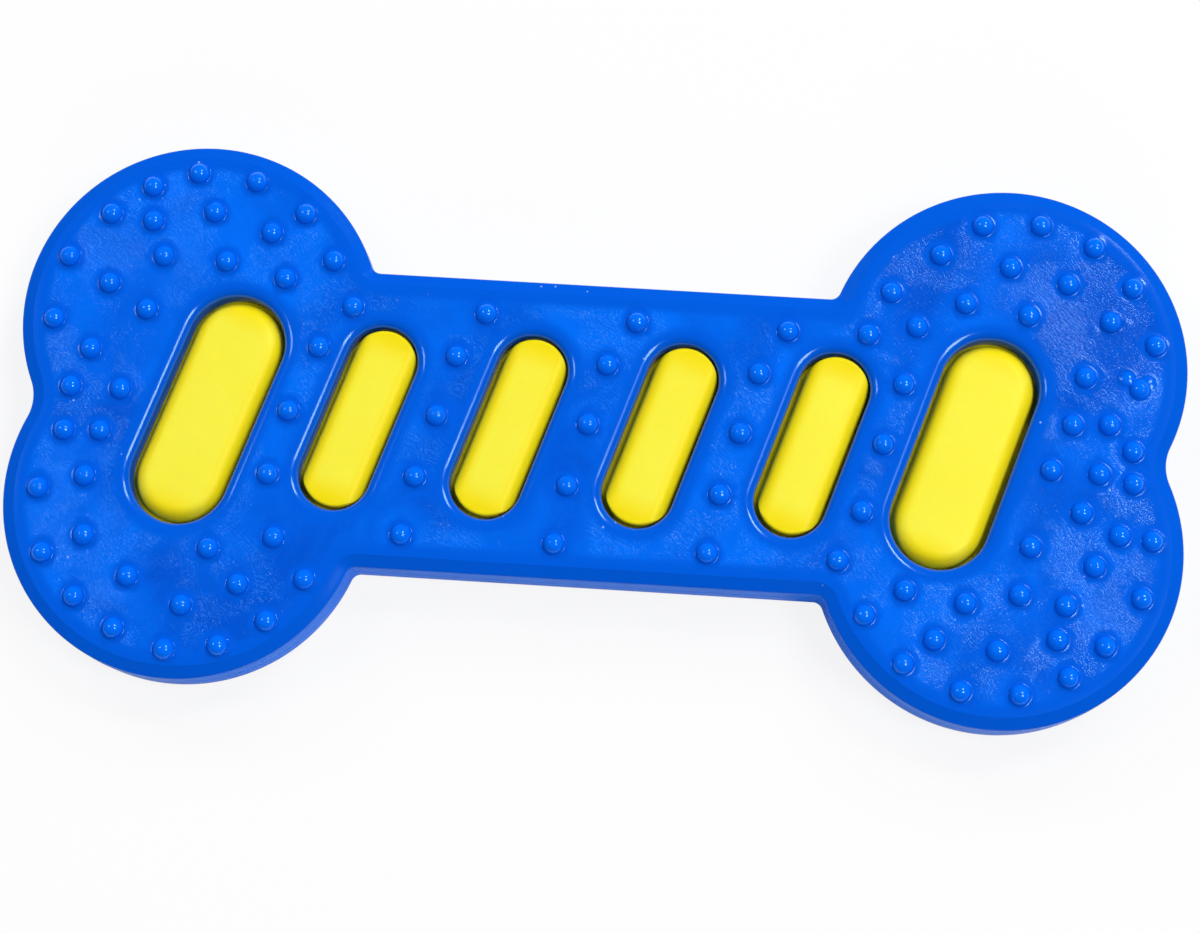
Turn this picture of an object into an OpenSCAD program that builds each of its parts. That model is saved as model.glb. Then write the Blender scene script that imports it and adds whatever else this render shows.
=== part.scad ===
// Flat rubber chew bone: two blue half shells bonded at their mid plane,
// with six yellow inserts whose flanges are trapped between the shells.
// Lengths are millimetres. The bone lies flat with +Z up and its length along X.
// The origin is on the ground plane, under the middle of the bone.

/* [Bone outline] */
// Length of the bone from end to end
bone_l = 230; // [215:1:260]
// Radius of each of the four round lobes
lobe_r = 35.5; // [34:0.5:37]
// Distance of a lobe's centre from the bone's long axis
lobe_offset = 18; // [17:0.5:21]
// Width of the straight waist between the heads
waist_w = 59.2; // [58:0.2:64]
// Radius of the notch between the two lobes of a head
notch_r = 9; // [5:0.5:14]
// Radius of the corner where a lobe meets the waist
corner_r = 2; // [1:0.1:4]

/* [Shells] */
// Thickness of the bone between its two flat faces
bone_t = 12.6; // [11.6:0.2:15]
// Width of the smooth sloping rim round the outline
rim_w = 3.2; // [2:0.1:4]
// How far the rim falls from the flat face to its outer edge
rim_drop = 0.8; // [0.3:0.1:1.5]
// Radius of the edge between the rim and the side wall
edge_r = 0.5; // [0.2:0.1:0.8]
// Depth of the small chamfer that each shell has at the parting line
seam_depth = 0.3; // [0.1:0.05:0.6]

/* [Slots] */
// Width of the four small slots
small_slot_w = 14.2; // [12:0.1:15]
// Length of the four small slots
small_slot_l = 38.3; // [30:0.1:41]
// Width of the two large slots in the heads
large_slot_w = 19.4; // [16:0.1:20]
// Length of the two large slots in the heads
large_slot_l = 47.6; // [40:0.1:52]
// Distance from one slot to the next along the bone
slot_pitch = 29.7; // [29:0.1:31]
// Place of the middle of the row of slots along the bone
slot_row_x = -2.1; // [-4:0.1:4]
// Lean of the slots from square across the bone, in degrees
slot_lean = 18; // [0:1:22]
// Radius of the rounded lip of a slot
lip_r = 1.5; // [0.8:0.1:2]

/* [Inserts] */
// Gap between the side of a pad and the wall of its slot
pad_gap = 0.65; // [0.4:0.05:1]
// How far the top of a small pad lies below the flat face
small_pad_sink = 1.2; // [0.5:0.1:2.5]
// How far the top of a large pad lies below the flat face
large_pad_sink = 1.5; // [0.5:0.1:2.5]
// Radius of the rounded long flanks of a small pad
small_flank_r = 2.8; // [1.5:0.1:3.5]
// Radius of the crisp top edge at the ends of a small pad
small_end_r = 0.5; // [0.3:0.1:1]
// Radius of the rounded top edge all round a large pad
large_edge_r = 3.2; // [1.5:0.1:3.5]
// Shift of the small pads along the bone, off the middle of their slots
small_pad_shift = 0.3; // [0:0.05:0.35]
// Thickness of the flange in the middle of an insert
flange_t = 2; // [1.4:0.1:3]
// Width of the flange beyond the wall of its slot
flange_reach = 2.8; // [1.5:0.1:3]
// Gap round the flange in its pocket
pocket_gap = 0.3; // [0.2:0.05:0.5]

/* [Nubs] */
// Diameter of a nub where it leaves the flat face
nub_d = 4.25; // [3:0.05:4.6]
// Height of a nub above the flat face
nub_h = 1.9; // [1.4:0.05:2.1]

/* [Hidden] */
$fn = 64;

// The slots stand in one row: a large one at each end and the small ones between
last_slot = 5;
// Number of steps in a quarter round of a section
round_steps = 6;
// Length by which pieces of one solid run into each other, and cutters run out
overrun = 1;

// Heights of the parting plane and of a shell above it
half_t = bone_t / 2;
mid_z = nub_h + half_t;
flange_half_t = flange_t / 2;

// Centres of the lobe, the notch and the corner in the quarter with x and y above 0.
// The notch and the corners bite a hair into the lobes, so that the walls cross cleanly.
bite = edge_r / 8;
lobe_x = bone_l / 2 - lobe_r;
lobe_at = [lobe_x, lobe_offset];
waist_half = waist_w / 2;
notch_at = [lobe_x + sqrt(pow(lobe_r + notch_r - bite, 2) - pow(lobe_offset, 2)), 0];
corner_y = waist_half + corner_r - bite;
corner_run = sqrt(pow(lobe_r + corner_r - bite, 2) - pow(corner_y - lobe_offset, 2));
corner_at = [lobe_x - corner_run, corner_y];

// Directions of the notch and the corner, seen from the lobe's centre
notch_angle = atan2(notch_at.y - lobe_at.y, notch_at.x - lobe_at.x);
corner_angle = atan2(corner_at.y - lobe_at.y, corner_at.x - lobe_at.x);

// Where the flat faces of the two lobes, and of a lobe and the waist, meet, and how far
// the blends of the notch and the corner reach in to cover the rims up to there
flat_r = lobe_r - rim_w;
flat_half = waist_half - rim_w;
flat_notch_x = lobe_x + sqrt(pow(flat_r, 2) - pow(lobe_offset, 2));
flat_corner_x = lobe_x - sqrt(pow(flat_r, 2) - pow(flat_half - lobe_offset, 2));
notch_reach = notch_at.x - flat_notch_x - notch_r + overrun;
corner_reach = norm(corner_at - [flat_corner_x, flat_half]) - corner_r + overrun;

// The row of slots starts at the large slot in the left head
first_slot_x = slot_row_x - last_slot * slot_pitch / 2;

// Sizes of the pads
small_pad_w = small_slot_w - 2 * pad_gap;
small_pad_l = small_slot_l - 2 * pad_gap;
large_pad_w = large_slot_w - 2 * pad_gap;
large_pad_l = large_slot_l - 2 * pad_gap;

// The sphere that a nub is the cap of
nub_r = (pow(nub_d / 2, 2) + pow(nub_h, 2)) / (2 * nub_h);
nub_centre_z = half_t + nub_h - nub_r;

// Nubs of a head, as shares of the lobe radius from the middle of the head:
// the first number runs outwards along the bone, the second across it.
// The outer ring follows the rim, and the inner nubs fill in round the large slot.
left_outer_ring_shares = [
    [-0.72, 0.88], [-0.54, 1.14], [-0.25, 1.31], [0.08, 1.34], [0.33, 1.25], [0.55, 1.08],
    [0.76, 0.82], [0.81, 0.46], [0.68, 0.08], [0.69, -0.17], [0.80, -0.50], [0.74, -0.86],
    [0.54, -1.09], [0.31, -1.25], [0.02, -1.35], [-0.27, -1.31], [-0.52, -1.16], [-0.71, -0.92]
];
left_inner_shares = [
    [-0.85, 0.62], [-0.68, 0.38], [-0.54, 0.01], [-0.46, -0.35], [-0.52, -0.70],
    [-0.46, 0.76], [-0.36, 1.02], [-0.12, 0.84], [-0.03, 1.12], [0.23, 0.85], [0.31, 1.05],
    [0.52, 0.68], [0.30, 0.54], [0.59, 0.30], [0.40, 0.08], [0.49, -0.16], [0.55, -0.42],
    [0.52, -0.75], [0.26, -0.96], [-0.05, -1.10], [-0.35, -0.97], [-0.17, -0.78]
];
right_outer_ring_shares = [
    [-0.65, 0.88], [-0.39, 1.11], [-0.16, 1.29], [0.16, 1.31], [0.46, 1.20], [0.68, 0.98],
    [0.81, 0.66], [0.73, 0.41], [0.70, 0.06], [0.71, -0.12], [0.82, -0.43], [0.77, -0.75],
    [0.58, -1.02], [0.39, -1.20], [0.13, -1.31], [-0.19, -1.31], [-0.50, -1.18], [-0.72, -0.93]
];
right_inner_shares = [
    [-0.77, 0.63], [-0.56, 0.36], [-0.66, 0.02], [-0.76, -0.36], [-0.88, -0.64],
    [-0.50, 0.69], [-0.24, 0.84], [0.00, 1.06], [0.32, 0.98], [0.11, 0.79], [0.56, 0.78],
    [0.43, 0.46], [0.37, 0.19], [0.57, 0.20], [0.26, -0.07], [0.52, -0.08], [0.43, -0.30],
    [0.64, -0.41], [0.16, -0.50], [0.51, -0.59], [-0.51, -0.78], [-0.18, -0.83], [0.11, -0.77],
    [0.36, -0.81], [0.32, -1.00], [0.00, -1.08], [-0.34, -1.04]
];
// Nubs between two small slots: a share of the pitch along the bone from the slot
// on the left, then a share of half the waist across it
web_shares = [[0.80, 0.75], [0.62, 0.45], [0.52, 0.04], [0.41, -0.38], [0.35, -0.77]];

// Points of an arc from one angle to another
function arc(centre, r, from, to) = [
    for (i = [0 : round_steps])
        let (a = from + (to - from) * i / round_steps)
            centre + r * [cos(a), sin(a)]
];

// Points of the section of the rim, with the wall at x = 0, running a width of w into
// the shell. The slope of the rim runs into the side wall over a quarter round.
rim_slope = atan2(rim_drop, rim_w - edge_r);
function rim_points(w) = concat(
    [[w, 0], [w, half_t], [rim_w, half_t]],
    arc([edge_r, half_t - rim_drop - edge_r], edge_r, 90 + rim_slope, 180),
    [[0, seam_depth], [seam_depth, 0]]
);

// Section of a shell from the middle of a round or straight stretch of half width r
module solid_section(r) {
    polygon([for (p = rim_points(r)) [r - p.x, p.y]]);
}

// Section of a shell round a hollow of radius r, reaching a width of w into the shell
module hollow_section(r, w) {
    polygon([for (p = rim_points(w)) [r + p.x, p.y]]);
}

// Sweeps a half section round a slot shape whose end centres lie a run apart along Y
module slot_sweep(run) {
    for (turn = [0, 180]) {
        rotate([0, 0, turn])
            translate([0, run / 2, 0])
                rotate_extrude(angle = 180)
                    children();
    }
    rotate([90, 0, 0])
        linear_extrude(height = run, center = true) {
            children();
            mirror([1, 0, 0])
                children();
        }
}

// Plain half section, from the axis out to a radius, between two heights
module block_section(r, low, high) {
    translate([0, low])
        square([r, high - low]);
}

// Half section of a slot with its rounded lip, which runs out above the nubs
module slot_section(r) {
    above = half_t + nub_h + overrun;
    polygon(concat(
        [[0, 0], [r, 0]],
        arc([r + lip_r, half_t - lip_r], lip_r, 180, 90),
        [[r + lip_r, above], [0, above]]
    ));
}

// Places its children on a slot of the row, numbered from 0 at the left
module on_slot(i, shift = 0) {
    translate([first_slot_x + i * slot_pitch + shift, 0, 0])
        rotate([0, 0, -slot_lean])
            children();
}

// Slot and flange pocket, cut from a shell that lies above the parting plane
module slot_cut(w, l) {
    slot_sweep(l - w)
        slot_section(w / 2);
    slot_sweep(l - w)
        block_section(w / 2 + flange_reach + pocket_gap, -overrun, flange_half_t);
}

// One round lobe of the half shell
module lobe() {
    translate(lobe_at)
        rotate_extrude()
            solid_section(lobe_r);
}

// Straight bar of the waist, which ends inside the heads
module waist() {
    translate([-lobe_x, 0, 0])
        rotate([90, 0, 90])
            linear_extrude(height = 2 * lobe_x) {
                solid_section(waist_half);
                mirror([1, 0])
                    solid_section(waist_half);
            }
}

// Hollow blend between the two lobes at the right end
module notch_blend() {
    translate(notch_at)
        rotate([0, 0, 180 + notch_angle])
            rotate_extrude(angle = -2 * notch_angle)
                hollow_section(notch_r, notch_reach);
}

// Hollow blend between a lobe and the waist
module corner_blend() {
    translate(corner_at)
        rotate([0, 0, -90])
            rotate_extrude(angle = corner_angle - 90)
                hollow_section(corner_r, corner_reach);
}

// Outer form of a shell above the parting plane, with no slots
module shell_blank() {
    waist();
    for (mx = [0, 1])
        mirror([mx, 0, 0]) {
            notch_blend();
            for (my = [0, 1])
                mirror([0, my, 0]) {
                    lobe();
                    corner_blend();
                }
        }
}

// One nub at a place on the flat face
module nub(x, y) {
    translate([x, y, nub_centre_z])
        sphere(r = nub_r);
}

// Nubs of one head, with side = -1 for the left one
module head_nubs(side, shares) {
    for (p = shares)
        nub(side * (lobe_x + p.x * lobe_r), p.y * lobe_r);
}

// All nubs of one face
module nubs() {
    head_nubs(-1, left_outer_ring_shares);
    head_nubs(-1, left_inner_shares);
    head_nubs(1, right_outer_ring_shares);
    head_nubs(1, right_inner_shares);
    for (web = [1 : last_slot - 2])
        for (p = web_shares)
            nub(first_slot_x + (web + p.x) * slot_pitch, p.y * waist_half);
}

// Half shell that lies above the parting plane, with its slots, pockets and nubs
module half_shell() {
    difference() {
        union() {
            shell_blank();
            nubs();
        }
        for (i = [0, last_slot])
            on_slot(i)
                slot_cut(large_slot_w, large_slot_l);
        for (i = [1 : last_slot - 1])
            on_slot(i)
                slot_cut(small_slot_w, small_slot_l);
    }
}

module front_cover() {
    color("royalblue")
        translate([0, 0, mid_z])
            half_shell();
}

module back_cover() {
    color("mediumblue")
        translate([0, 0, mid_z])
            mirror([0, 0, 1])
                half_shell();
}

// Flange of an insert, for a slot of a width and length
module flange(w, l) {
    slot_sweep(l - w)
        block_section(w / 2 + flange_reach, -flange_half_t, flange_half_t);
}

// Half section of a pad that is rounded all round at both faces
module pad_section(r, top, edge) {
    polygon(concat(
        [[0, -top]],
        arc([r - edge, edge - top], edge, -90, 0),
        arc([r - edge, top - edge], edge, 0, 90),
        [[0, top]]
    ));
}

// Small pad: a bar with round long flanks, cut to the slot's shape with crisp ends
module small_pad() {
    top = half_t - small_pad_sink;
    half_w = small_pad_w / 2;
    intersection() {
        slot_sweep(small_pad_l - small_pad_w)
            pad_section(half_w, top, small_end_r);
        rotate([90, 0, 0])
            linear_extrude(height = small_pad_l + overrun, center = true) {
                pad_section(half_w, top, small_flank_r);
                mirror([1, 0, 0])
                    pad_section(half_w, top, small_flank_r);
            }
    }
}

module small_insert(i) {
    color("yellow")
        translate([0, 0, mid_z]) {
            on_slot(i)
                flange(small_slot_w, small_slot_l);
            on_slot(i, small_pad_shift)
                small_pad();
        }
}

module large_insert(i) {
    color("gold")
        translate([0, 0, mid_z])
            on_slot(i) {
                flange(large_slot_w, large_slot_l);
                slot_sweep(large_pad_l - large_pad_w)
                    pad_section(large_pad_w / 2, half_t - large_pad_sink, large_edge_r);
            }
}

module large_insert_left() {
    large_insert(0);
}

module small_insert_1() {
    small_insert(1);
}

module small_insert_2() {
    small_insert(2);
}

module small_insert_3() {
    small_insert(3);
}

module small_insert_4() {
    small_insert(4);
}

module large_insert_right() {
    large_insert(last_slot);
}

front_cover();
back_cover();
large_insert_left();
small_insert_1();
small_insert_2();
small_insert_3();
small_insert_4();
large_insert_right();
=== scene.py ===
"""Flat rubber chew bone: two blue half shells bonded round six yellow inserts.

Lengths are millimetres until a mesh, lamp or camera is made, and those are in metres.
Heights of a half shell are counted from the parting plane between the two shells.
Points in plan are arrays whose last axis holds X and Y.
"""

import logging
import math
from collections.abc import Callable
from dataclasses import dataclass, field
from enum import Enum
from functools import partial

import bmesh
import bpy
import numpy as np
from mathutils import Euler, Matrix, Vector
from mathutils.geometry import delaunay_2d_cdt
from numpy.typing import NDArray


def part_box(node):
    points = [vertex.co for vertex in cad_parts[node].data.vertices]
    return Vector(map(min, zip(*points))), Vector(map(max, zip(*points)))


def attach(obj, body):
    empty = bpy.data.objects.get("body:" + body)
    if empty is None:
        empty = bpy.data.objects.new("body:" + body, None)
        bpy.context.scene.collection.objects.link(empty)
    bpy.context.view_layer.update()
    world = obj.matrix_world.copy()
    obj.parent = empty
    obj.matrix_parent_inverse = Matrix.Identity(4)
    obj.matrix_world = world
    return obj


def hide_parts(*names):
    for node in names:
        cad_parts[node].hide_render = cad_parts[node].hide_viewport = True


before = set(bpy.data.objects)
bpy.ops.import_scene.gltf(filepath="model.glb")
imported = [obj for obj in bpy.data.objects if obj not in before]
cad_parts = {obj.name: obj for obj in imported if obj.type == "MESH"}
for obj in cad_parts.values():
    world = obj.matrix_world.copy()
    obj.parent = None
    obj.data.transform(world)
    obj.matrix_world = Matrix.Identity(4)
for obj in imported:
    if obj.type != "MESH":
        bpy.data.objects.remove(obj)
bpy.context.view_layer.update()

log = logging.getLogger("chew_bone")

Array = NDArray[np.float64]
Indices = NDArray[np.int64]
Socket = bpy.types.NodeSocket
Colour = tuple[float, float, float, float]
Pair = tuple[float, float]

MM = 0.001
BODY = "root"
WAVE_PERIOD = math.tau / 20  # about how far apart, in metres, a wave texture's bands are at scale 1


class Side(Enum):
    """Which way a half shell looks; the value is the sign of its heights."""

    FRONT = 1
    BACK = -1


class PadStyle(Enum):
    """Form of a pad's top: a pillow round on all sides, or a bar with crisp ends."""

    PILLOW = "pillow"
    BAR = "bar"


def smooth_step(value: Array, low: float, high: float) -> Array:
    """Eases from 0 to 1 as a value runs from low to high, by 3t² - 2t³."""
    t = np.clip((value - low) / (high - low), 0.0, 1.0)
    return t * t * (3.0 - 2.0 * t)


def length(arm: Array) -> Array:
    """Length of vectors in plan."""
    return np.hypot(arm[..., 0], arm[..., 1])


def clear(at: Array, middles: Array, reaches: Array) -> Array:
    """How far points in plan lie outside the nearest of some circles; below 0 inside one."""
    return (length(at[:, None] - middles) - reaches).min(axis=1)


def raised(plan: Array, z: Array | float) -> Array:
    """Joins points in plan to their heights."""
    return np.concatenate([plan, np.broadcast_to(z, plan.shape[:-1])[..., None]], axis=-1)


def circle(count: int) -> Array:
    """Unit directions in plan, evenly all round, one row each."""
    angles = np.linspace(0.0, math.tau, count + 1)[:-1]
    return np.column_stack([np.cos(angles), np.sin(angles)])


def arc(centre: Array, radius: float, start: float, end: float, step: float) -> tuple[Array, Array]:
    """Points of an arc, three or more, with the unit directions from its centre to them.

    Args:
        centre: Centre of the arc.
        radius: Radius of the arc.
        start: First angle in radians.
        end: Last angle in radians.
        step: Longest distance between two points.

    Returns:
        The points, and the directions from the centre.
    """
    count = max(3, math.ceil(abs(end - start) * radius / step) + 1)
    angles = np.linspace(start, end, count)
    directions = np.column_stack([np.cos(angles), np.sin(angles)])
    return centre + radius * directions, directions


def frame_box(node: str) -> tuple[Array, Array]:
    """Lowest and highest corner of a CAD node, in millimetres."""
    low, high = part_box(node)
    return np.array(low) / MM, np.array(high) / MM


@dataclass(frozen=True)
class BoneOutline:
    """Outline of the bone: four round lobes, blended into a notch at each end and into the waist.

    Attributes:
        half_length: Half the length of the bone.
        half_width: Half the width over a head.
        lobe_r: Radius of a lobe.
        waist_half: Half the width of the straight waist.
        notch_r: Radius of the hollow between the two lobes of a head.
        corner_r: Radius of the hollow between a lobe and the waist.
    """

    half_length: float
    half_width: float
    lobe_r: float = 35.5
    waist_half: float = 29.6
    notch_r: float = 9.0
    corner_r: float = 2.0

    @property
    def lobe(self) -> Array:
        """Centre of the lobe with both coordinates above 0."""
        return np.array([self.half_length - self.lobe_r, self.half_width - self.lobe_r])

    @property
    def notch(self) -> Array:
        """Centre of the notch at the +X end."""
        reach = math.sqrt((self.lobe_r + self.notch_r) ** 2 - self.lobe[1] ** 2)
        return np.array([self.lobe[0] + reach, 0.0])

    @property
    def corner(self) -> Array:
        """Centre of the hollow between the lobe and the waist.

        Returns:
            The centre, in plan.
        """
        across = self.waist_half + self.corner_r
        reach = math.sqrt((self.lobe_r + self.corner_r) ** 2 - (across - self.lobe[1]) ** 2)
        return np.array([self.lobe[0] - reach, across])

    @property
    def notch_angle(self) -> float:
        """Direction from the lobe's centre to the notch's centre."""
        return math.atan2(*(self.notch - self.lobe)[::-1])

    @property
    def corner_angle(self) -> float:
        """Direction from the lobe's centre to the corner's centre."""
        return math.atan2(*(self.corner - self.lobe)[::-1])

    def loop(self, step: float) -> tuple[Array, Array]:
        """The whole outline as a closed loop, anticlockwise.

        A quarter is a hollow arc, a lobe's arc, a second hollow arc and half the waist. It is
        mirrored in both axes. Normals point out of the material. The smaller an arc, the closer
        its points.

        Args:
            step: Longest distance between two points on the lobes.

        Returns:
            Points and outward normals, one row each.
        """
        notch, notch_out = arc(self.notch, self.notch_r, math.pi, math.pi + self.notch_angle, step / 2)
        lobe, lobe_out = arc(self.lobe, self.lobe_r, self.notch_angle, self.corner_angle, step)
        turn = self.corner_angle - math.pi
        corner, corner_out = arc(self.corner, self.corner_r, turn, -math.pi / 2, step / 4)
        run = np.arange(0.0, self.corner[0], step)[::-1]
        waist = np.column_stack([run, np.full_like(run, self.waist_half)])
        waist_out = np.tile([0.0, 1.0], (len(run), 1))
        points = np.concatenate([notch, lobe[1:], corner[1:], waist])
        normals = np.concatenate([-notch_out, lobe_out[1:], -corner_out[1:], waist_out])
        for flip in ([-1.0, 1.0], [1.0, -1.0]):
            points = np.concatenate([points, (points * flip)[-2::-1]])
            normals = np.concatenate([normals, (normals * flip)[-2::-1]])
        return points[:-1], normals[:-1]

    def depth(self, at: Array) -> Array:
        """How far points lie inside the outline; below 0 outside it.

        The plan is folded into one quarter. There each arc or straight counts only for points
        that it faces, and the smallest distance wins.

        Args:
            at: Points in plan.

        Returns:
            Depths of the points.
        """
        at = np.abs(at)

        def polar(centre: Array) -> tuple[Array, Array]:
            """Distance and direction from a centre."""
            arm = at - centre
            return length(arm), np.arctan2(arm[..., 1], arm[..., 0])

        lobe_d, lobe_a = polar(self.lobe)
        notch_d, notch_a = polar(self.notch)
        corner_d, corner_a = polar(self.corner)
        on_lobe = (lobe_a >= self.notch_angle) & (lobe_a <= self.corner_angle)
        on_notch = np.abs(notch_a) >= math.pi + self.notch_angle
        on_corner = (corner_a >= -math.pi / 2) & (corner_a <= self.corner_angle - math.pi)
        return np.minimum.reduce([
            np.where(on_lobe, self.lobe_r - lobe_d, np.inf),
            np.where(on_notch, notch_d - self.notch_r, np.inf),
            np.where(on_corner, corner_d - self.corner_r, np.inf),
            np.where(at[..., 0] <= self.corner[0], self.waist_half - at[..., 1], np.inf),
        ])


@dataclass(frozen=True)
class Slot:
    """Slanted slot with round ends.

    Attributes:
        node: CAD node of the insert in the slot.
        centre: Middle of the slot.
        half_run: Half the distance between the centres of the two round ends.
        radius: Half the width of the slot.
        lean: Lean of the slot from square across the bone, in radians.
        flange_reach: How far the insert's flange reaches beyond the slot's wall.
    """

    node: str
    centre: Array
    half_run: float
    radius: float
    lean: float = math.radians(18.0)
    flange_reach: float = 2.8

    @classmethod
    def around(cls, node: str) -> "Slot":
        """Works a slot out from the box of the insert whose flange reaches round it.

        Args:
            node: CAD node of the insert.

        Returns:
            The slot.
        """
        low, high = frame_box(node)
        across, along = ((high - low) / 2)[:2]
        half_run = (along - across) / (math.cos(cls.lean) - math.sin(cls.lean))
        radius = across - half_run * math.sin(cls.lean) - cls.flange_reach
        return cls(node, ((low + high) / 2)[:2], half_run, radius)

    @property
    def axis(self) -> Array:
        """Unit vector along the slot."""
        return np.array([math.sin(self.lean), math.cos(self.lean)])

    @property
    def side(self) -> Array:
        """Unit vector across the slot."""
        return np.array([math.cos(self.lean), -math.sin(self.lean)])

    def loop(self, step: float, shift: float = 0.0) -> tuple[Array, Array]:
        """Spine points and directions of a closed loop round the slot.

        A ring at radius r is spine + r * direction. The two straights keep one direction and
        run along the spine, and each end turns half round at its end of the spine.

        Args:
            step: Longest distance between points on the ring at the slot's wall.
            shift: Shift of the loop along X.

        Returns:
            Spine points and unit directions, one row each.
        """
        turns = math.ceil(math.pi * self.radius / step)
        runs = math.ceil(2 * self.half_run / step)
        ends = np.linspace(0.0, math.pi, turns + 1)
        straight = np.linspace(-self.half_run, self.half_run, runs + 1)[1:-1]
        angles = np.concatenate([np.zeros(runs - 1), ends, np.full(runs - 1, math.pi), ends + math.pi])
        places = np.concatenate([
            straight, np.full(turns + 1, self.half_run),
            straight[::-1], np.full(turns + 1, -self.half_run),
        ])
        directions = np.outer(np.cos(angles), self.side) + np.outer(np.sin(angles), self.axis)
        return self.centre + [shift, 0.0] + np.outer(places, self.axis), directions

    def distance(self, at: Array) -> Array:
        """Distance outside the slot's wall; below 0 inside the slot.

        Args:
            at: Points in plan.

        Returns:
            Distances of the points.
        """
        arm = at - self.centre
        along = np.clip(arm @ self.axis, -self.half_run, self.half_run)
        return length(arm - along[..., None] * self.axis) - self.radius


@dataclass(frozen=True)
class NubShape:
    """Round nub: a cap of a sphere, a small hollow cove and a faint skirt round its foot.

    Attributes:
        width: Width of the cap at the face.
        height: Height of the nub.
        cove_r: Radius of the cove.
        skirt: Height of the skirt above the face.
        skirt_w: Width over which the skirt falls to the face.
    """

    width: float = 4.25
    height: float = 1.9
    cove_r: float = 0.3
    skirt: float = 0.03
    skirt_w: float = 0.34

    @property
    def ball_r(self) -> float:
        """Radius of the sphere that the cap is cut from."""
        return ((self.width / 2) ** 2 + self.height**2) / (2 * self.height)

    @property
    def ball_z(self) -> float:
        """Height of the sphere's centre above the face."""
        return self.height - self.ball_r

    @property
    def cove_z(self) -> float:
        """Height of the cove's centre above the face."""
        return self.cove_r + self.skirt

    @property
    def foot_r(self) -> float:
        """Radius of the cove's lowest ring, from the triangle of the two arcs' centres."""
        return math.sqrt((self.ball_r + self.cove_r) ** 2 - (self.cove_z - self.ball_z) ** 2)

    @property
    def reach(self) -> float:
        """Radius at which the skirt runs out into the face."""
        return self.foot_r + self.skirt_w

    def profile(self, cap_rows: int, cove_rows: int, skirt_rows: int) -> tuple[Array, Array]:
        """Section from the tip outwards: an arc of the ball, an arc of the cove, a cosine fall.

        Args:
            cap_rows: Number of steps on the cap.
            cove_rows: Number of steps in the cove.
            skirt_rows: Number of steps down the skirt.

        Returns:
            Distances from the axis, and heights above the face.
        """
        meet = math.atan2(self.foot_r, self.cove_z - self.ball_z)
        cap = np.linspace(0.0, meet, cap_rows + 1)
        cove = np.linspace(meet, 0.0, cove_rows + 1)[1:]
        fall = np.linspace(0.0, 1.0, skirt_rows + 1)[1:]
        radii = np.concatenate([
            self.ball_r * np.sin(cap),
            self.foot_r - self.cove_r * np.sin(cove),
            self.foot_r + self.skirt_w * fall,
        ])
        heights = np.concatenate([
            self.ball_z + self.ball_r * np.cos(cap),
            self.cove_z - self.cove_r * np.cos(cove),
            self.skirt * (1.0 + np.cos(math.pi * fall)) / 2,
        ])
        return radii, heights

    def lift(self, distance: Array) -> Array:
        """Height above the face at a distance from the axis, read off the section."""
        radii, heights = self.profile(cap_rows=24, cove_rows=8, skirt_rows=8)
        return np.interp(distance, radii, heights, right=0.0)


@dataclass(frozen=True)
class Ripple:
    """Soft unevenness of moulded rubber, as a sum of sine waves in all directions.

    Attributes:
        seed: Seed of the directions, lengths and phases.
        height: Root mean square height.
        short: Shortest wave.
        long: Longest wave.
        count: Number of waves.
    """

    seed: int
    height: float = 0.055
    short: float = 11.0
    long: float = 34.0
    count: int = 22

    def lift(self, at: Array) -> Array:
        """Sum over the waves of a sine of the way along each, with equal slopes.

        Args:
            at: Points in plan.

        Returns:
            Heights above the mean face.
        """
        draw = np.random.default_rng(self.seed)
        angles = draw.uniform(0.0, math.tau, self.count)
        lengths = draw.uniform(self.short, self.long, self.count)
        phases = draw.uniform(0.0, math.tau, self.count)
        numbers = math.tau / lengths
        way = np.multiply.outer(at[..., 0], numbers * np.cos(angles))
        way += np.multiply.outer(at[..., 1], numbers * np.sin(angles))
        share = lengths / np.sqrt(np.sum(lengths**2) / 2)
        return self.height * np.sum(share * np.sin(way + phases), axis=-1)


@dataclass(frozen=True)
class Mark:
    """Round patch of the face with overlapping bumps, where the mould was struck twice.

    Attributes:
        place: Middle of the patch.
        reach: Radius of the patch.
        bumps: Each bump's offset from the middle and its shape.
    """

    place: Pair
    reach: float
    bumps: tuple[tuple[Pair, NubShape], ...]

    def lift(self, at: Array) -> Array:
        """Height of the highest of the bumps at each point, above the face."""
        arm = at - self.place
        return np.maximum.reduce([shape.lift(length(arm - offset)) for offset, shape in self.bumps])


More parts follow.
